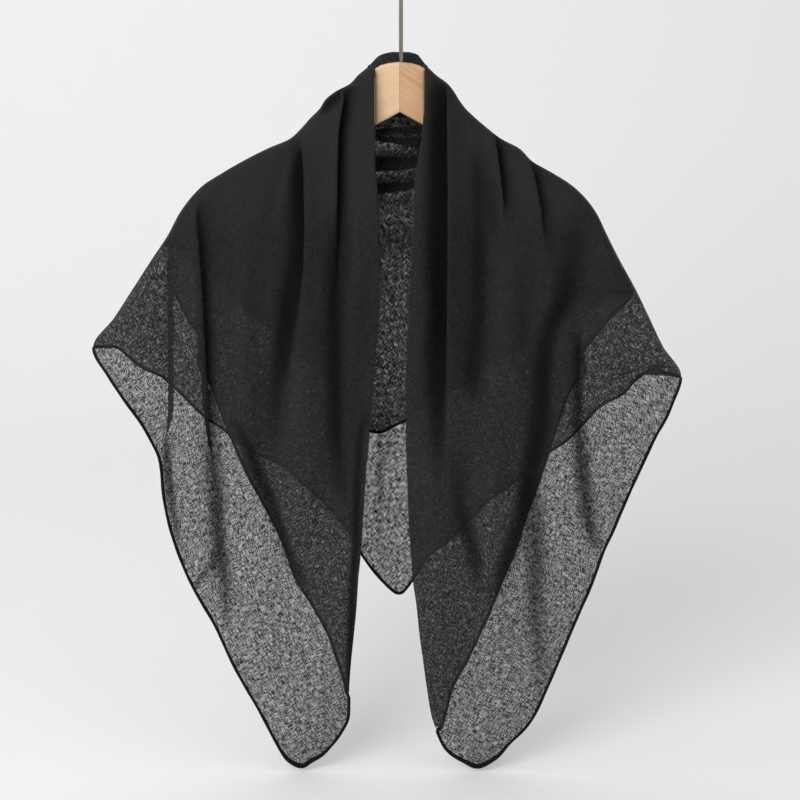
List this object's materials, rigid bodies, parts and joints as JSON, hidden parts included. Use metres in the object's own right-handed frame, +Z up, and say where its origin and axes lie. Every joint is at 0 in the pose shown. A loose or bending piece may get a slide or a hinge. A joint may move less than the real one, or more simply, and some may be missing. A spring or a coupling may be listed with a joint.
{
  "type": "square scarf on a hanger",
  "caption": "Thin black square scarf with rolled hems, folded to a shawl and draped over a wooden hanger that hangs by an open wire hook.",
  "frame": {"origin": "top of the inside of the hook, where it hangs on a rail", "axes": "+Z up; the scarf's open front faces -Y; +X to the right of a viewer who faces the front"},
  "size_m": [0.5998, 0.0721, 0.8503],
  "materials": {
    "voile": "matt semi-sheer slub weave",
    "hem": "matt rolled and stitched",
    "wood": "satin lacquer",
    "steel": "satin"
  },
  "bodies": {
    "root": {"front_left_outer": "voile", "front_left_inner": "voile", "front_right_outer": "voile", "front_right_inner": "voile", "back_outer": "voile", "back_inner": "voile", "hem_left_outer": "hem", "hem_left_inner": "hem", "hem_right_outer": "hem", "hem_right_inner": "hem", "arm_left": "wood", "arm_right": "wood", "hook": "steel"}
  },
  "joints": []
}
